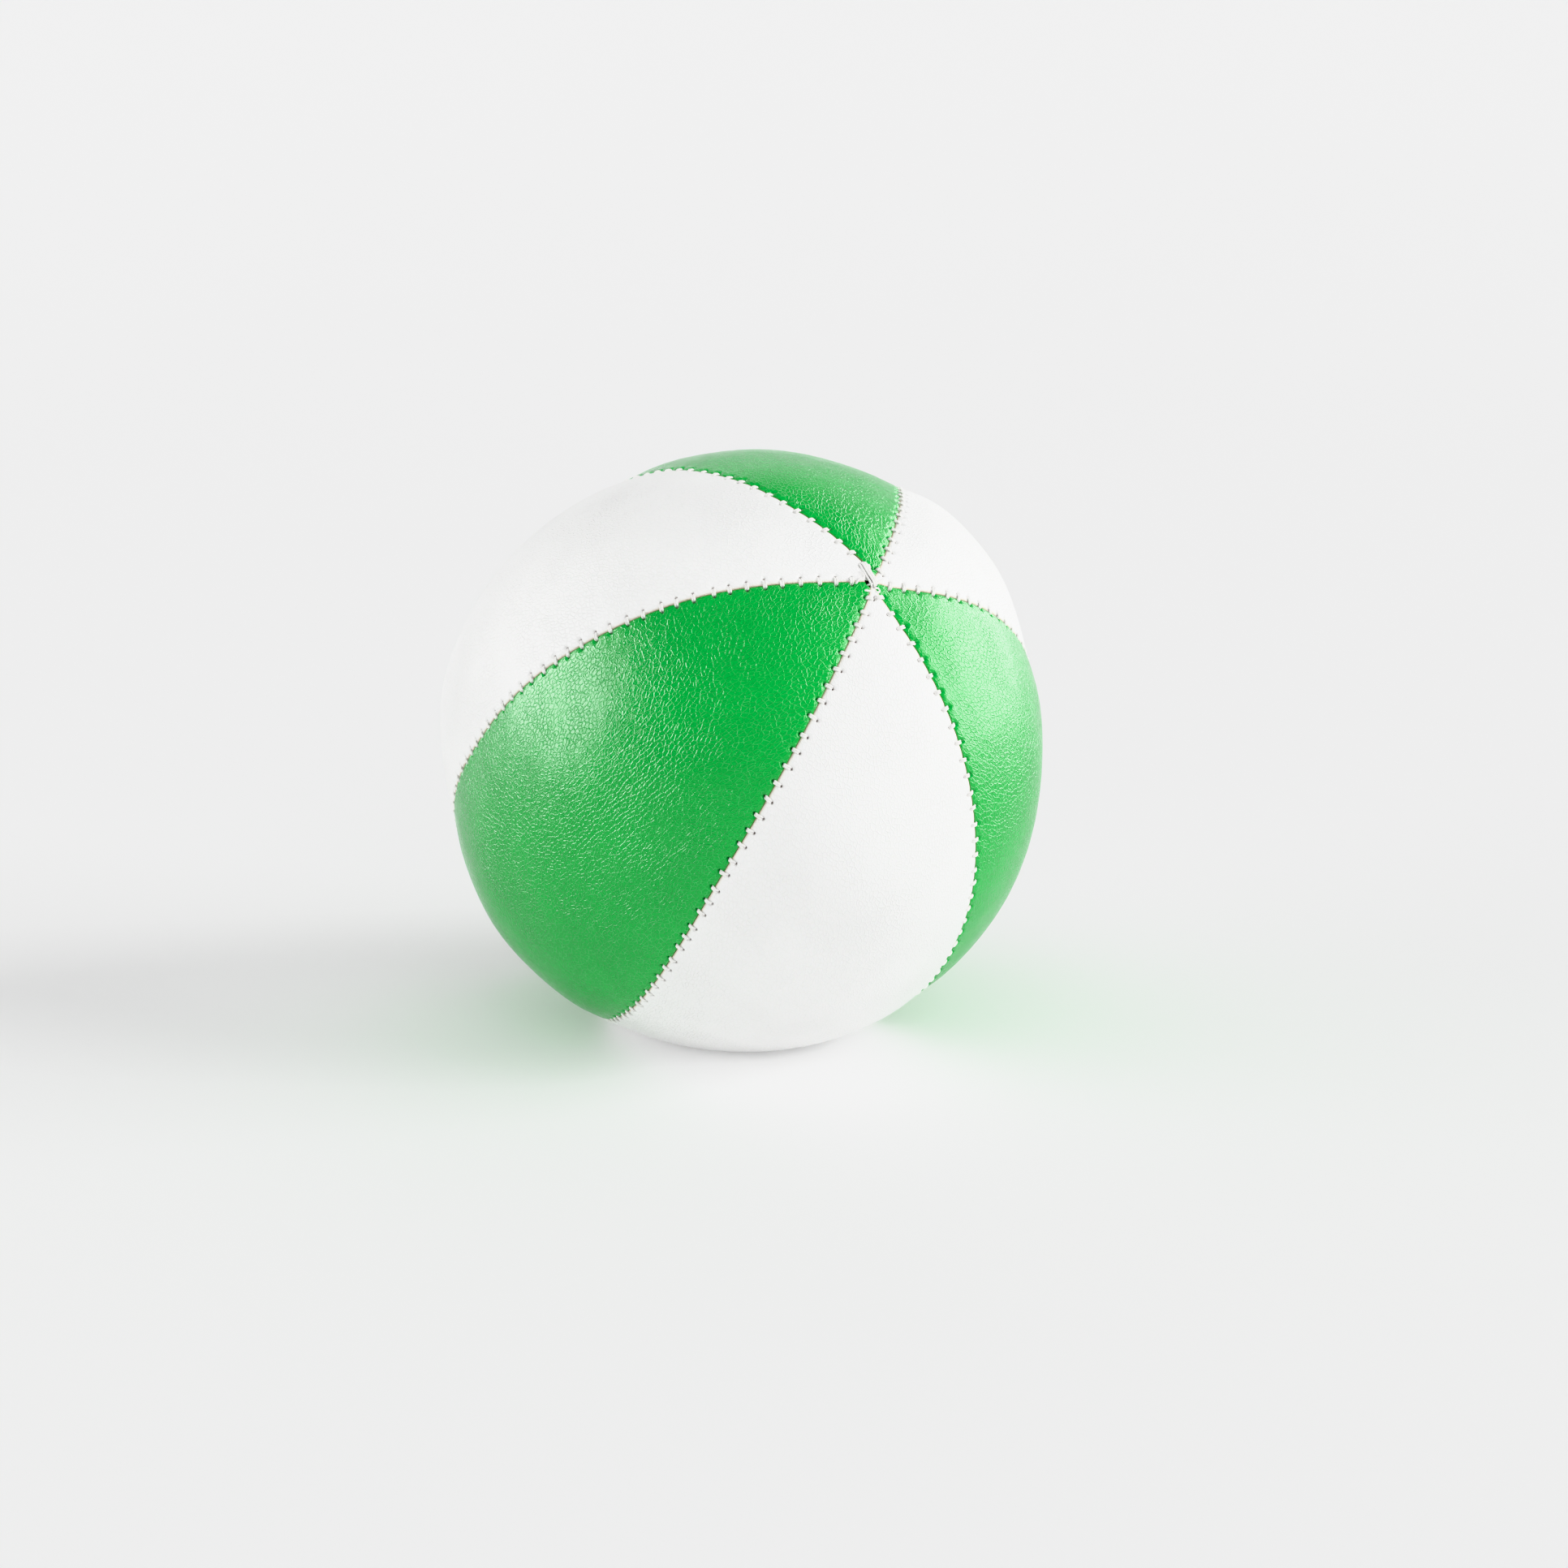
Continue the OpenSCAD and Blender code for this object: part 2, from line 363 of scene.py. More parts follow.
def tube(path, radius, sides=8):
    """Points and faces of a closed tube of this radius along a path of points."""
    path = np.asarray(path, dtype=float)
    n = len(path)
    ahead = unit(np.gradient(path, axis=0))
    side = np.zeros_like(path)
    first = np.cross(ahead[0], [0.3, 0.5, 0.8])
    side[0] = first / np.linalg.norm(first)
    for i in range(1, n):
        v = side[i - 1] - ahead[i] * (side[i - 1] @ ahead[i])
        side[i] = v / np.linalg.norm(v)
    up = np.cross(ahead, side)
    a = np.arange(sides) * 2 * math.pi / sides
    radius = np.broadcast_to(radius, (n,))[:, None, None]
    ring = np.cos(a)[None, :, None] * side[:, None] + np.sin(a)[None, :, None] * up[:, None]
    points = (path[:, None] + ring * radius).reshape(-1, 3)
    faces = []
    for i in range(n - 1):
        for j in range(sides):
            k = (j + 1) % sides
            faces.append([i * sides + j, i * sides + k, (i + 1) * sides + k, (i + 1) * sides + j])
    faces.append(list(range(sides))[::-1])
    faces.append([(n - 1) * sides + j for j in range(sides)])
    return points, faces


def joined(parts):
    """Points and faces of several parts as one."""
    points, faces, start = [], [], 0
    for p, f in parts:
        points.append(p)
        faces += [[i + start for i in face] for face in f]
        start += len(p)
    return np.concatenate(points), faces


# One thread's way through a stitch: which strand, share of the reach, and height in mm
LOOP = [(-1, 1.10, -1.60), (-1, 1.16, -0.95), (-1, 1.20, -0.50), (-1, 1.14, -0.20),
        (-1, 0.94, 0.03), (-1, 0.50, 0.10), (-0.9, 0.12, 0.08), (-0.6, -0.20, -0.02),
        (0.0, -0.34, -0.12), (0.6, -0.20, -0.06), (0.9, 0.12, 0.04), (1, 0.50, 0.08),
        (1, 0.94, 0.01), (1, 1.14, -0.22), (1, 1.20, -0.50), (1, 1.16, -0.95),
        (1, 1.10, -1.60)]
FLOOR_CLEARANCE = 0.01  # a thread stays this far above the floor


def thread_path(seam, side):
    """The needle or bobbin thread of a seam, in and out of every stitch."""
    i = np.repeat(np.arange(STITCHES), len(LOOP))
    loop = np.tile(np.array(LOOP), (STITCHES, 1))
    reach = seam.reach[(side + 1) // 2][i]
    theta = seam.theta(i)
    p, out, along, across = skin_frame(theta, seam.phi(theta))
    away = loop[:, 1] * reach * side
    forward = loop[:, 0] * STRAND_GAP + away * seam.slant[i]
    half_w = BALL_R * np.sin(theta) * math.sin(PANEL_ANGLE / 2)
    lying, _ = edge_shape(seam, side, i + seam.slip[i], 0.9 * reach, half_w)
    height = loop[:, 2] - lying
    path = p + along * forward[:, None] + across * away[:, None]
    path = path + out * height[:, None]
    path[:, 2] = np.maximum(path[:, 2], THREAD_R)
    return path


def make_thread(name, seam, side):
    points, faces = tube(thread_path(seam, side), THREAD_R)
    points[:, 2] = np.maximum(points[:, 2], FLOOR_CLEARANCE)
    return new_mesh(name, points, faces)


POLE_SINK = 0.15  # how far under the skin the threads at a pole start


def pole_points(end, x, y, height):
    """Points by a pole, x and y mm across it along the first seam and beside it."""
    far = np.hypot(x, y) / BALL_R
    theta = far if end > 0 else math.pi - far
    p, out, _, _ = skin_frame(theta, np.arctan2(y, x))
    return p + out * (height - POLE_SINK)[:, None]


def smooth_path(points, steps=6):
    """A Catmull-Rom curve through the points."""
    pts = np.asarray(points, dtype=float)
    pts = np.concatenate([2 * pts[:1] - pts[1:2], pts, 2 * pts[-1:] - pts[-2:-1]])
    out = []
    for a, b, c, d in zip(pts, pts[1:], pts[2:], pts[3:]):
        for u in np.arange(steps) / steps:
            out.append(0.5 * (2 * b + (c - a) * u + (2 * a - 5 * b + 4 * c - d) * u ** 2
                              + (3 * b - a - 3 * c + d) * u ** 3))
    out.append(pts[-2])
    return np.array(out)


# Threads that close a pole: points x, y and height in mm; x lies along the first seam
BUNDLE = [(0.55, -2.75, -1.2), (0.42, -2.45, -0.15), (0.2, -1.7, 0.0), (0.05, -0.9, 0.12),
          (-0.25, -0.1, 0.10), (-0.45, 0.45, -0.25), (-0.5, 0.6, -1.2)]
BUNDLE_STRANDS = ((-0.36, 0.0), (-0.12, 0.10), (0.12, 0.12), (0.36, 0.02))
LOOP_AT, LOOP_R = (-0.42, 0.98), 0.27  # the loop beside the bundle
LOOP_RISES, LOOP_DIP = (0.5, 5.9), -0.5  # its open part, in radians, and its ends' height
TACK_SPREAD, BACK_UNEVEN = 0.03, 4  # unevenness in mm, and how much more at the back
CROSSINGS = [
    [(1.9, 0.35, -1.2), (1.75, 0.2, -0.1), (1.3, -0.3, 0.06), (0.75, -0.5, -0.1),
     (0.3, -0.35, -0.15)],
    [(-1.8, -0.5, -1.2), (-1.6, -0.45, -0.1), (-1.1, -0.2, 0.04), (-0.6, 0.1, 0.05),
     (0.3, 0.25, -0.2), (0.5, 0.3, -1.0)],
    [(1.1, 1.15, -1.2), (0.95, 1.05, -0.12), (0.45, 1.1, 0.02), (-0.1, 1.2, -0.1),
     (-0.3, 1.3, -0.9)],
    [(1.2, -1.3, -1.1), (1.05, -1.2, -0.1), (0.75, -0.9, 0.08), (0.8, -0.5, 0.06),
     (1.1, -0.45, -0.15), (1.25, -0.5, -1.1)]]


def make_tack(name, end):
    """The closing threads sewn over the panel tips at a pole."""
    curves = [[(x + dx, y + 0.5 * dx, h + up) for x, y, h in BUNDLE]
              for dx, up in BUNDLE_STRANDS]
    ring = [(LOOP_AT[0] + LOOP_R * math.cos(a), LOOP_AT[1] + LOOP_R * math.sin(a),
             0.0 if LOOP_RISES[0] < a < LOOP_RISES[1] else LOOP_DIP)
            for a in np.linspace(0, 2 * math.pi, 9)]
    curves += CROSSINGS + [ring]
    parts = []
    for curve in curves:
        x, y, h = smooth_path(curve).T
        shift = rng.normal(0, TACK_SPREAD, 2) * (1 if end > 0 else BACK_UNEVEN)
        turned = np.array([x + shift[0], (y + shift[1]) * end, h])
        parts.append(tube(pole_points(end, *turned), THREAD_R))
    points, faces = joined(parts)
    return new_mesh(name, points, faces)


# ---------------------------------------------------------------- the inside
# The bag, in mm: thickness, depth under the skin, how much deeper and how widely at a seam
BAG_T, BAG_DEPTH, BAG_DIP, BAG_DIP_W = 0.4, 1.35, 1.55, 4.2
BAG_FLOOR = 2.0  # least height of the bag above the floor
RUCKS, RUCK_H = 40, 0.10  # gathers round its poles
CREASE_RATE, CREASE_H = (17.0, 5.0, 11.0), 0.08
GATHER_D, GATHER_W = 0.9, 0.12  # how far it draws in at a pole, and over what sine
BAG_ROWS, BAG_COLS, BAG_MOUTH, BAG_SLIT = 121, 61, 0.02, 0.004

# The bag's running stitch: radius, length of one stitch, depth into the cloth, swing, ends
BASTE_R, BASTE_LONG, BASTE_D, BASTE_SWING, BASTE_END = 0.12, 2.2, 0.2, 0.25, 0.06

# The grain: how many seeds, their half lengths and half widths, and their unevenness
SEEDS, SEED_LONG, SEED_WIDE, SEED_SPREAD = 3600, 1.15, 0.95, 0.35
SEED_GAP, CORE_D = 0.1, 0.6  # seeds and core under the bag, beyond a seed's half length
CORE_ROWS, CORE_COLS, CORE_MOUTH = 49, 96, 0.03


def bag_depth(phi):
    """How far under the skin the bag lies: it bulges between the folded allowances."""
    from_seam = np.abs((phi / PANEL_ANGLE + 0.5) % 1 - 0.5) * PANEL_ANGLE * BALL_R
    return BAG_DEPTH + BAG_DIP * np.exp(-(from_seam / BAG_DIP_W) ** 2)


def bag_skin(theta, phi, extra=0.0):
    """Points of the bag's outside, or of a layer that much deeper."""
    p, out, _, _ = skin_frame(theta, phi)
    d = np.stack([np.sin(theta) * np.cos(phi), np.sin(theta) * np.sin(phi), np.cos(theta)], -1)
    ruck = RUCK_H * np.cos(RUCKS * phi + 3 * np.sin(5 * theta)) * np.cos(theta) ** 6
    creases = CREASE_H * np.cos(d @ np.array(CREASE_RATE))
    near_pole = GATHER_D * np.exp(-(np.sin(theta) / GATHER_W) ** 2)
    p = p - out * (bag_depth(phi) + extra + near_pole - ruck + creases)[..., None]
    p[..., 2] = np.maximum(p[..., 2], BAG_FLOOR + extra)
    return p


def make_bag_half(name, side):
    """Half of the cloth bag, gathered to its poles, its edges closed across the cloth's
    thickness.
    """
    rows, cols = BAG_ROWS, BAG_COLS
    start = PANEL_ANGLE / 2 + (0 if side > 0 else math.pi)
    theta = np.linspace(BAG_MOUTH, math.pi - BAG_MOUTH, rows)[:, None] + np.zeros((1, cols))
    turn = np.linspace(BAG_SLIT, math.pi - BAG_SLIT, cols)
    phi = start + turn[None, :] + np.zeros((rows, 1))
    outer, inner = bag_skin(theta, phi), bag_skin(theta, phi, BAG_T)
    size = rows * cols
    points = np.concatenate([outer.reshape(-1, 3), inner.reshape(-1, 3)])
    faces = grid_faces(rows, cols) + grid_faces(rows, cols, size, flip=True)
    rim = list(range(0, size, cols)) + list(range(size - cols + 1, size))
    rim += list(range(size - cols - 1, 0, -cols)) + list(range(cols - 2, 0, -1))
    for a, b in zip(rim, rim[1:] + rim[:1]):
        faces.append([a, b, b + size, a + size])
    return new_mesh(name, points, faces)


def make_bag_thread(name):
    """Running stitches along both edges of the bag."""
    parts = []
    for start in (PANEL_ANGLE / 2, PANEL_ANGLE / 2 + math.pi):
        theta = np.linspace(BASTE_END, math.pi - BASTE_END, 400)
        wave = np.sin(theta * BALL_R * math.pi / BASTE_LONG)
        p, out, _, _ = skin_frame(theta, np.full(theta.shape, start))
        path = p - out * (bag_depth(start) + BASTE_D - BASTE_SWING * wave)[:, None]
        parts.append(tube(path, BASTE_R, 6))
    points, faces = joined(parts)
    return new_mesh(name, points, faces)


def make_grain(name):
    """The outer layer of grain against the bag, over a packed core."""
    k = np.arange(SEEDS) + 0.5
    theta = np.arccos(1 - 2 * k / SEEDS)
    phi = (k * math.pi * (1 + math.sqrt(5))) % (2 * math.pi)
    depth = BAG_T + SEED_LONG + SEED_GAP + rng.uniform(0, SEED_SPREAD, SEEDS)
    centre = bag_skin(theta, phi, depth)
    bm = bmesh.new()
    bmesh.ops.create_icosphere(bm, subdivisions=1, radius=1)
    shape = np.array([v.co[:] for v in bm.verts])
    tris = [[v.index for v in f.verts] for f in bm.faces]
    bm.free()
    points, faces = [], []
    for i in range(SEEDS):
        q, _ = np.linalg.qr(rng.normal(size=(3, 3)))
        if np.linalg.det(q) < 0:
            q[:, 0] *= -1
        points.append(centre[i] + (shape * (SEED_LONG, SEED_WIDE, SEED_WIDE)) @ q.T)
        faces += [[v + i * len(shape) for v in t] for t in tris]
    rows, cols = CORE_ROWS, CORE_COLS
    theta = np.linspace(CORE_MOUTH, math.pi - CORE_MOUTH, rows)[:, None] + np.zeros((1, cols))
    phi = np.arange(cols)[None, :] * 2 * math.pi / cols + np.zeros((rows, 1))
    core = bag_skin(theta, phi, BAG_T + SEED_LONG + CORE_D)
    start = SEEDS * len(shape)
    for r in range(rows - 1):
        for c in range(cols):
            n = (c + 1) % cols
            faces.append([start + r * cols + c, start + r * cols + n,
                          start + (r + 1) * cols + n, start + (r + 1) * cols + c][::-1])
    faces.append([start + c for c in range(cols)])
    faces.append([start + (rows - 1) * cols + c for c in range(cols)][::-1])
    return new_mesh(name, np.concatenate(points + [core.reshape(-1, 3)]), faces)


# ---------------------------------------------------------------- materials
class Nodes:
    """A short way to build a material's node tree."""

    def __init__(self, name):
        self.material = bpy.data.materials.new(name)
        self.material.use_nodes = True
        self.tree = self.material.node_tree
        self.shader = self.tree.nodes["Principled BSDF"]

    def add(self, kind, settings=(), **inputs):
        node = self.tree.nodes.new(kind)
        for key, value in dict(settings).items():
            setattr(node, key, value)
        for key, value in inputs.items():
            self.set(node, key, value)
        return node

    def set(self, node, key, value):
        socket = node.inputs[int(key[2:]) if key.startswith("in") else key.replace("_", " ")]
        if isinstance(value, bpy.types.NodeSocket):
            self.tree.links.new(value, socket)
        else:
            socket.default_value = value

    def maths(self, operation, a, b=0.0, clamp=False):
        settings = {"operation": operation, "use_clamp": clamp}
        return self.add("ShaderNodeMath", settings, in0=a, in1=b).outputs[0]

    def attribute(self, name, output="Fac"):
        return self.add("ShaderNodeAttribute", {"attribute_name": name}).outputs[output]

    def noise(self, where, scale, detail=2.0, rough=0.5):
        return self.add("ShaderNodeTexNoise", Vector=where, Scale=scale, Detail=detail,
                        Roughness=rough).outputs["Fac"]

    def cells(self, where, scale, low, high):
        """Rounded pebbles, 1 on their tops and 0 in the grooves between them."""
        edge = self.add("ShaderNodeTexVoronoi",
                        {"feature": "DISTANCE_TO_EDGE", "voronoi_dimensions": "2D"},
                        Vector=where, Scale=scale).outputs["Distance"]
        ramp = self.add("ShaderNodeMapRange", {"interpolation_type": "SMOOTHSTEP"},
                        Value=edge, From_Min=low, From_Max=high)
        return ramp.outputs[0]

    def mix(self, share, a, b):
        node = self.add("ShaderNodeMix", {"data_type": "RGBA"}, in0=share, in6=a, in7=b)
        return node.outputs[2]

    def remap(self, value, low, high, new_low, new_high):
        return self.add("ShaderNodeMapRange", Value=value, From_Min=low, From_Max=high,
                        To_Min=new_low, To_Max=new_high).outputs[0]

    def scaled(self, where, size):
        node = self.add("ShaderNodeVectorMath", {"operation": "MULTIPLY"}, in0=where, in1=size)
        return node.outputs[0]

    def object_mm(self):
        """Where a point lies on its object, in mm."""
        return self.scaled(self.add("ShaderNodeTexCoord").outputs["Object"], (1 / MM,) * 3)

    def toned(self, colour, tone):
        """The colour, lighter or darker by the factor tone."""
        return self.add("ShaderNodeVectorMath", {"operation": "SCALE"}, in0=colour,
                        Scale=tone).outputs[0]

    def bump(self, height, strength, depth):
        """Gives the shader a bump whose full height is depth mm."""
        node = self.add("ShaderNodeBump", Strength=strength, Distance=depth * MM, Height=height)
        self.set(self.shader, "Normal", node.outputs[0])


# Relief of the leatherette: each pattern's scale, groove softness and share of the height
PEBBLES, PEBBLE_SOFT = 2.35, 0.19
SMALL_PEBBLES, SMALL_SOFT, SMALL_SHARE = 5.0, 0.25, 0.14
SWELL, SWELL_SHARE = 0.9, 0.6
FINE, FINE_SHARE = 9.0, 0.10
RELIEF_D = 0.06  # full height of the relief, in mm
WARP, WARP_REACH = 1.1, 0.35  # bends the patterns by this many mm
STRETCH = 0.74  # pebbles are longer along a panel than across it

# Colours: in the grain's grooves, painted sheen on the green and painted shade on the white; by a
# seam, the folded edge's own colour with painted shade; in a needle hole, painted shade, over the
# cut edge's brown on the white.
GREEN = dict(colour=(0.002, 0.39, 0.048, 1), groove=(0.07, 0.52, 0.14, 1),
             seam_edge_and_shade=(0.16, 0.20, 0.09, 1), hole=(0.006, 0.13, 0.02, 1),
             backing=(0.55, 0.56, 0.50, 1), rough=0.15, specular=0.7)
WHITE = dict(colour=(0.91, 0.91, 0.905, 1), groove=(0.81, 0.81, 0.80, 1),
             seam_edge_and_shade=(0.60, 0.50, 0.36, 1), hole=(0.14, 0.085, 0.06, 1),
             backing=(0.60, 0.60, 0.57, 1), rough=0.42, specular=0.45)


def leatherette(name, colour, groove, seam_edge_and_shade, hole, backing, rough, specular):
    """Pebbled leatherette: painted sheen in the grain's grooves on green and painted shade in
    them on white, painted shade in the needle holes (over the cut edge's brown on white), and
    along the seams the folded edge's own colour with painted shade.
    """
    m = Nodes(name)
    where = m.attribute("flat", "Vector")
    warp = m.add("ShaderNodeTexNoise", Vector=where, Scale=WARP, Detail=2.0).outputs["Color"]
    warp = m.scaled(warp, (WARP_REACH, WARP_REACH, 0.0))
    bent = m.add("ShaderNodeVectorMath", {"operation": "ADD"}, in0=where, in1=warp).outputs[0]
    pebbles = m.cells(m.scaled(bent, (1.0, STRETCH, 1.0)), PEBBLES, 0.0, PEBBLE_SOFT)
    small = m.cells(bent, SMALL_PEBBLES, 0.0, SMALL_SOFT)
    swell = m.noise(bent, SWELL)
    fine = m.noise(bent, FINE, rough=0.6)
    depth = m.remap(m.noise(where, 0.22), 0.35, 0.65, 0.4, 0.75)
    height = m.maths("MULTIPLY", pebbles, depth)
    for part, share in ((small, SMALL_SHARE), (swell, SWELL_SHARE), (fine, FINE_SHARE)):
        height = m.maths("ADD", height, m.maths("MULTIPLY", part, share))
    smooth_by_seam = m.remap(m.attribute("strain"), 0.0, 1.0, 1.0, 0.6)
    m.bump(m.maths("MULTIPLY", height, smooth_by_seam), 1.0, RELIEF_D)

    # Painted light in the grain's grooves, in noise patches: painted sheen (paler green) on the
    # green, painted shade (grey) on the white.
    groove_sheen_and_shade = m.remap(m.noise(where, 1.4), 0.38, 0.62, 0.1, 0.7)
    groove_sheen_and_shade = m.maths("MULTIPLY", m.remap(pebbles, 0.0, 0.6, 1.0, 0.0), groove_sheen_and_shade)
    tone = m.remap(m.noise(where, 0.07), 0.3, 0.7, 0.93, 1.06)
    base = m.toned(m.mix(groove_sheen_and_shade, colour, groove), tone)
    # Along a seam: the folded edge's own colour with painted shade.
    by_seam = m.attribute("seam_edge_and_shade")
    base = m.mix(m.maths("MULTIPLY", by_seam, 0.9, True), base, seam_edge_and_shade)
    # Painted shade in the needle holes, over the cut edge's brown on the white panels.
    in_hole = m.remap(m.attribute("hole"), 0.2, 0.75, 0.0, 1.0)
    base = m.mix(in_hole, base, hole)
    m.set(m.shader, "Base_Color", m.mix(m.attribute("inside"), base, backing))
    matt = m.remap(m.noise(where, 0.35, 3.0), 0.3, 0.7, rough - 0.04, rough + 0.05)
    matt = m.maths("ADD", matt, m.maths("MULTIPLY", by_seam, 0.3))
    m.set(m.shader, "Roughness", m.maths("ADD", matt, m.maths("MULTIPLY", in_hole, 0.4), True))
    m.set(m.shader, "Specular IOR Level", specular)
    return m.material


def thread_material(name, colour, rough):
    """Twisted thread: a fine bump across its strands and slightly uneven colour."""
    m = Nodes(name)
    where = m.object_mm()
    strands = m.add("ShaderNodeTexWave", {"bands_direction": "DIAGONAL"}, Vector=where,
                    Scale=2.6, Distortion=3.0, Detail=1.0).outputs["Fac"]
    fuzz = m.noise(where, 9.0)
    m.bump(m.maths("ADD", m.maths("MULTIPLY", strands, 0.6), m.maths("MULTIPLY", fuzz, 0.4)),
           0.8, 0.03)
    tone = m.remap(m.noise(where, 1.6), 0.3, 0.7, 0.86, 1.03)
    m.set(m.shader, "Base_Color", m.toned(colour, tone))
    m.set(m.shader, "Roughness", m.remap(fuzz, 0.3, 0.7, rough - 0.08, rough + 0.08))
    m.set(m.shader, "Sheen Weight", 0.3)
    return m.material


def cloth_material(name, colour):
    """Plain-weave cotton."""
    m = Nodes(name)
    where = m.object_mm()
    weave = [m.add("ShaderNodeTexWave", {"bands_direction": d}, Vector=where, Scale=0.7,
                   Distortion=0.6).outputs["Fac"] for d in ("X", "Z")]
    height = m.maths("MULTIPLY", weave[0], weave[1])
    tone = m.remap(m.noise(where, 0.4, 3.0), 0.3, 0.7, 0.85, 1.05)
    # Painted shade: the weave is darker in its hollows, where its threads dip.
    tone = m.maths("MULTIPLY", tone, m.remap(height, 0.0, 1.0, 0.8, 1.05))
    m.set(m.shader, "Base_Color", m.toned(colour, tone))
    m.set(m.shader, "Roughness", m.remap(height, 0.0, 1.0, 0.95, 0.8))
    m.bump(height, 1.0, 0.05)
    return m.material


def grain_material(name):
    """Hulled seed, each one a slightly different straw colour."""
    m = Nodes(name)
    where = m.object_mm()
    each = m.remap(m.noise(where, 0.45, 1.0), 0.35, 0.65, 0.0, 1.0)
    fine = m.noise(where, 4.0)
    m.set(m.shader, "Base_Color", m.mix(each, (0.66, 0.42, 0.13, 1), (0.82, 0.62, 0.28, 1)))
    m.set(m.shader, "Roughness", m.remap(fine, 0.3, 0.7, 0.35, 0.5))
    m.bump(fine, 0.5, 0.04)
    return m.material


def floor_material():
    """A pale matt sheet, lit from below."""
    m = Nodes("pale_floor")
    where = m.add("ShaderNodeTexCoord").outputs["Object"]
    tone = m.remap(m.noise(where, 3.0), 0.3, 0.7, 0.985, 1.0)
    m.set(m.shader, "Base_Color", m.toned((0.70, 0.70, 0.70), tone))
    m.set(m.shader, "Roughness", m.remap(tone, 0.98, 1.0, 0.55, 0.6))
    m.set(m.shader, "Specular IOR Level", 0.0)
    m.set(m.shader, "Emission Color", (1, 1, 1, 1))
    m.set(m.shader, "Emission Strength", 0.24)
    return m.material


# ---------------------------------------------------------------- camera, floor and light
VIEW_HEIGHT = math.radians(13)
VIEW_DISTANCE = BALL_R / 0.098
BALL_SHARE = 0.1883  # the ball's mean radius as a share of the picture's width
AIM = (0.130, -0.087)  # right of and above the ball's centre, in radii

AMBIENT, BACKGROUND = 0.36, 0.95  # how bright the studio is, and looks to the camera
BRIGHT_SIDE = (0.0, 0.985, 0.17)  # where reflections find the studio brightest
BRIGHT_RAMP = (0.45, 1.05, 0.02, 1.6)  # closeness to it, from and to; brightness, from and to

# Far softboxes: the direction each stands in, its width in degrees and its strength.
# The first show only in reflections and the others only light what they shine on.
REFLECTED = {"left_softbox": ((-0.98, 0.02, 0.25), 44, 4.5),
             "right_softbox": ((0.84, 0.46, 0.16), 54, 4.6),
             "right_front": ((0.93, -0.16, 0.36), 44, 1.4),
             "right_wall": ((0.95, 0.25, 0.10), 90, 3.6),
             "left_wall": ((-0.95, 0.20, 0.05), 90, 2.0)}
LIGHTING = {"left_fill": ((-0.97, -0.20, 0.02), 50, 2.4),
            "right_key": ((0.93, -0.12, 0.36), 40, 2.9),
            "front_top": ((0.15, -0.62, 0.78), 60, 0.9),
            "front_fill": ((0.1, -0.93, 0.33), 60, 0.3),
            "back_fill": ((-0.1, 0.97, 0.22), 60, 0.5)}


def make_camera():
    """Looks at the ball from the front and a little above, through a long lens."""
    back = Vector((0, -math.cos(VIEW_HEIGHT), math.sin(VIEW_HEIGHT)))
    up = Vector((0, math.sin(VIEW_HEIGHT), math.cos(VIEW_HEIGHT)))
    centre = Vector((0, 0, CENTRE_Z * MM))
    data = bpy.data.cameras.new("camera")
    data.sensor_width = 36
    data.lens = BALL_SHARE * data.sensor_width * VIEW_DISTANCE / BALL_R
    data.clip_start, data.clip_end = 0.01, 20
    camera = bpy.data.objects.new("camera", data)
    bpy.context.scene.collection.objects.link(camera)
    camera.location = centre + back * VIEW_DISTANCE * MM
    target = centre + (Vector((1, 0, 0)) * AIM[0] + up * AIM[1]) * BALL_R * MM
    camera.rotation_euler = (target - camera.location).to_track_quat("-Z", "Y").to_euler()
    bpy.context.scene.camera = camera


def make_floor():
    """A pale sweep, in metres: flat under the ball and curving up far behind it."""
    radius, start, wide, narrow = 2.6, 0.45, 4.5, 1.2
    profile = [(-3.0, 0.0, wide), (-0.8, 0.0, wide), (0.2, 0.0, wide), (start, 0.0, narrow)]
    profile += [(start + radius * math.sin(a), radius * (1 - math.cos(a)), narrow)
                for a in np.radians(np.linspace(2, 62, 31))]
    across = np.linspace(-1, 1, 5)
    points = np.array([(x * w, y, z) for y, z, w in profile for x in across]) / MM
    floor = new_mesh("floor", points, grid_faces(len(profile), len(across)))
    floor.data.materials.append(floor_material())


def soft_light(name, towards, spread, strength, reflected):
    """A large far softbox that either only shows in reflections or only lights."""
    data = bpy.data.lights.new(name, "SUN")
    data.energy, data.angle = strength, math.radians(spread)
    light = bpy.data.objects.new(name, data)
    bpy.context.scene.collection.objects.link(light)
    light.rotation_euler = Vector(towards).to_track_quat("Z", "Y").to_euler()
    light.visible_diffuse, light.visible_glossy = not reflected, reflected


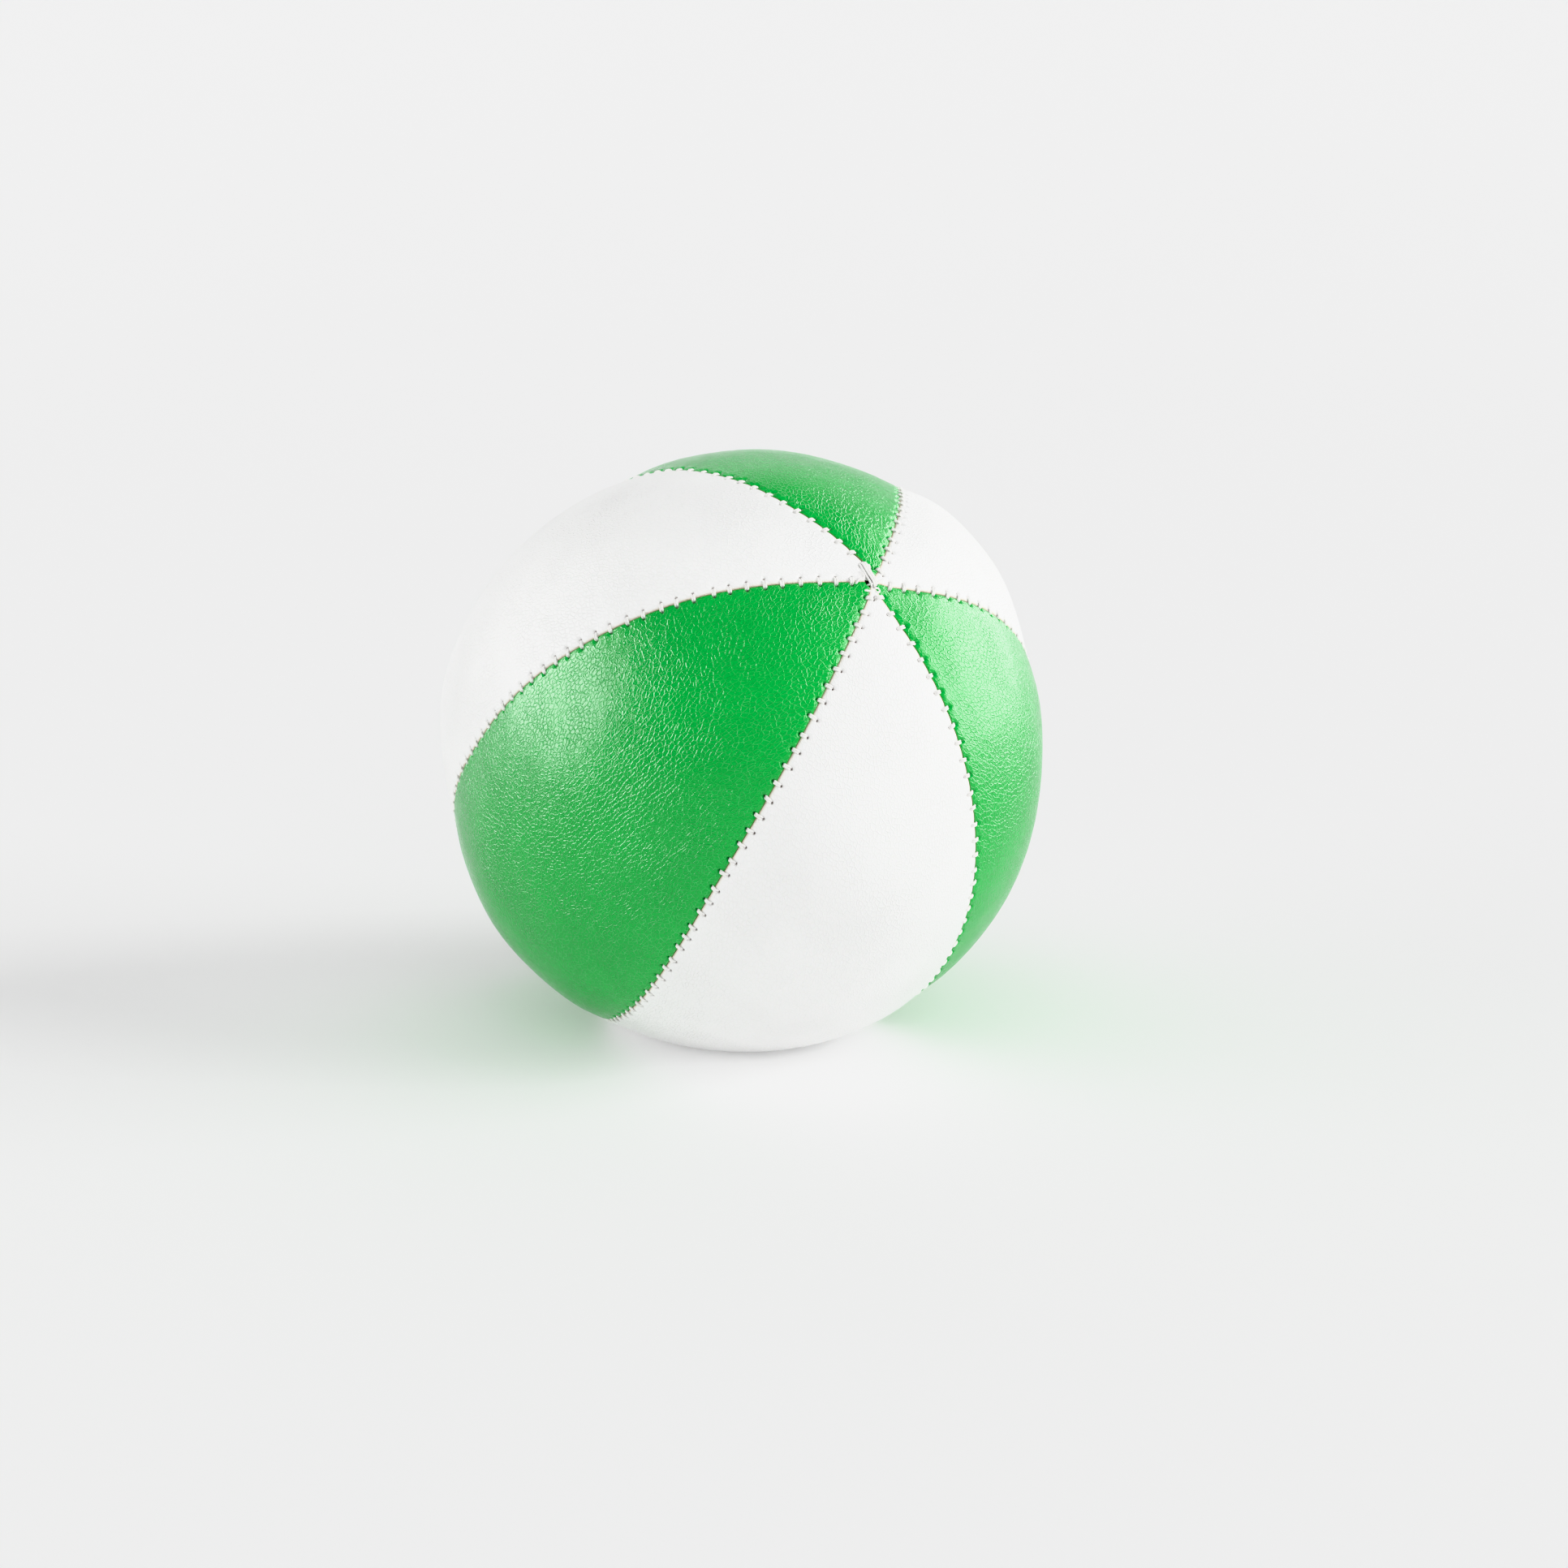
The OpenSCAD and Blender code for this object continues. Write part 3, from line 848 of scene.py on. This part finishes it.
def make_world():
    """An even pale studio, dark behind the camera, where nothing shines on the ball."""
    world = bpy.data.worlds.new("studio")
    bpy.context.scene.world = world
    world.use_nodes = True
    tree = world.node_tree
    background = tree.nodes["Background"]

    def add(kind, **settings):
        node = tree.nodes.new(kind)
        for key, value in settings.items():
            setattr(node, key, value)
        return node

    where, dot = add("ShaderNodeTexCoord"), add("ShaderNodeVectorMath", operation="DOT_PRODUCT")
    tree.links.new(where.outputs["Generated"], dot.inputs[0])
    dot.inputs[1].default_value = BRIGHT_SIDE
    ramp = add("ShaderNodeMapRange", interpolation_type="SMOOTHSTEP")
    tree.links.new(dot.outputs["Value"], ramp.inputs["Value"])
    for key, value in zip(("From Min", "From Max", "To Min", "To Max"), BRIGHT_RAMP):
        ramp.inputs[key].default_value = value
    ray = add("ShaderNodeLightPath")
    plain = add("ShaderNodeMix", data_type="FLOAT")
    plain.inputs[2].default_value, plain.inputs[3].default_value = AMBIENT, BACKGROUND
    tree.links.new(ray.outputs["Is Camera Ray"], plain.inputs[0])
    seen = add("ShaderNodeMix", data_type="FLOAT")
    tree.links.new(ray.outputs["Is Glossy Ray"], seen.inputs[0])
    tree.links.new(plain.outputs[0], seen.inputs[2])
    tree.links.new(ramp.outputs[0], seen.inputs[3])
    tree.links.new(seen.outputs[0], background.inputs["Strength"])
    background.inputs["Color"].default_value = (1.0, 1.0, 1.0, 1)


def make_lights():
    for lights, reflected in ((REFLECTED, True), (LIGHTING, False)):
        for name, (towards, spread, strength) in lights.items():
            soft_light(name, towards, spread, strength, reflected)
    make_world()
    bpy.context.scene.view_settings.view_transform = "Khronos PBR Neutral"


# ---------------------------------------------------------------- putting it together
def place(obj, node, material):
    """Stands a piece in for its CAD node, with its material."""
    obj.data.materials.append(material)
    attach(obj, "root")
    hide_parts(node)


def make_ball():
    green = leatherette("green_leatherette", **GREEN)
    white = leatherette("white_leatherette", **WHITE)
    thread = thread_material("white_thread", (0.92, 0.91, 0.89), 0.5)
    cloth = cloth_material("cotton_cloth", (0.72, 0.64, 0.48))
    cotton = thread_material("cotton_thread", (0.80, 0.76, 0.66), 0.75)
    for n in range(1, 4):
        for colour, material, index in (("green", green, 2 * n - 2), ("white", white, 2 * n - 1)):
            name = f"{colour}_panel_{n}"
            piece = make_panel(f"{name}_leather", index)
            place(piece, name, material)
    for n, seam in enumerate(SEAMS, 1):
        for word, side in (("needle", 1), ("bobbin", -1)):
            name = f"seam_{n}_{word}_thread"
            place(make_thread(f"{name}_stitches", seam, side), name, thread)
    for word, end in (("front", 1), ("back", -1)):
        piece = make_tack(f"{word}_pole_tack_threads", end)
        place(piece, f"{word}_pole_tack", thread)
    for n, side in ((1, 1), (2, -1)):
        name = f"inner_bag_half_{n}"
        piece = make_bag_half(f"{name}_cloth", side)
        place(piece, name, cloth)
    place(make_bag_thread("inner_bag_stitching"), "inner_bag_thread", cotton)
    grain = make_grain("grain_fill_seeds")
    place(grain, "grain_fill", grain_material("seed"))


make_camera()
make_floor()
make_lights()
make_ball()
